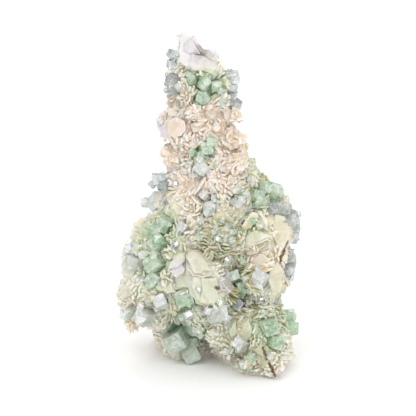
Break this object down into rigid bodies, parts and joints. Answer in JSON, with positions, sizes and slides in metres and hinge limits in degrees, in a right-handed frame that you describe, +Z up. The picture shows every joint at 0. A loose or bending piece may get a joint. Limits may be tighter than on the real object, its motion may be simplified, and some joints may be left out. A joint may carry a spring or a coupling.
{
  "type": "apophyllite on stilbite mineral specimen",
  "caption": "Mineral specimen: a free-standing spire of cream stilbite blades, studded with clear and pale green apophyllite crystals.",
  "frame": {"origin": "on the flat broken face the specimen stands on, under the spire", "axes": "+Z up the spire, the front that is shown faces -Y, +X to the viewer's right"},
  "size_m": [0.096, 0.0813, 0.1776],
  "materials": {
    "stilbite": "pearly, slightly translucent cream",
    "apophyllite_clear": "clear, glassy",
    "apophyllite_pale": "very pale green, glassy",
    "apophyllite_green": "pale mint green, glassy"
  },
  "bodies": {
    "root": {"stilbite_mass": "stilbite", "apophyllite_crown_left_upper": "apophyllite_clear", "apophyllite_crown_left": "apophyllite_clear", "apophyllite_crown_green_columns": "apophyllite_green", "apophyllite_crown_front": "apophyllite_green", "apophyllite_crown_right": "apophyllite_clear", "apophyllite_crown_right_tilted": "apophyllite_clear", "apophyllite_spire_left_spray": "apophyllite_clear", "apophyllite_spire_pair": "apophyllite_green", "apophyllite_spire_striated": "apophyllite_pale", "apophyllite_left_prism": "apophyllite_clear", "apophyllite_small_cube_upper": "apophyllite_pale", "apophyllite_bright_cube": "apophyllite_pale", "apophyllite_bright_wedge": "apophyllite_pale", "apophyllite_right_green_upper": "apophyllite_green", "apophyllite_right_edge_upper": "apophyllite_clear", "apophyllite_right_green_nest": "apophyllite_green", "apophyllite_left_ledge_block": "apophyllite_pale", "apophyllite_left_bright_cube": "apophyllite_pale", "apophyllite_left_slope": "apophyllite_green", "apophyllite_left_rim": "apophyllite_pale", "apophyllite_left_face": "apophyllite_green", "apophyllite_front_lavender": "apophyllite_pale", "apophyllite_front_green_cube": "apophyllite_green", "apophyllite_front_green_nest": "apophyllite_green", "apophyllite_left_low_block": "apophyllite_pale", "apophyllite_centre_block": "apophyllite_pale", "apophyllite_hollow_nest": "apophyllite_green", "apophyllite_hollow_glassy": "apophyllite_clear", "apophyllite_sheaf_rider": "apophyllite_pale", "apophyllite_right_edge_middle": "apophyllite_clear", "apophyllite_lower_right_cube": "apophyllite_pale", "apophyllite_lower_right_green": "apophyllite_green", "apophyllite_right_edge_lower": "apophyllite_green", "apophyllite_right_back_nest": "apophyllite_green", "apophyllite_back_crown": "apophyllite_clear", "apophyllite_back_spire_cube": "apophyllite_pale", "apophyllite_back_shoulder_nest": "apophyllite_green", "apophyllite_back_right_blocks": "apophyllite_pale", "apophyllite_back_left_blocks": "apophyllite_pale", "apophyllite_back_low_nest": "apophyllite_green"}
  },
  "joints": []
}
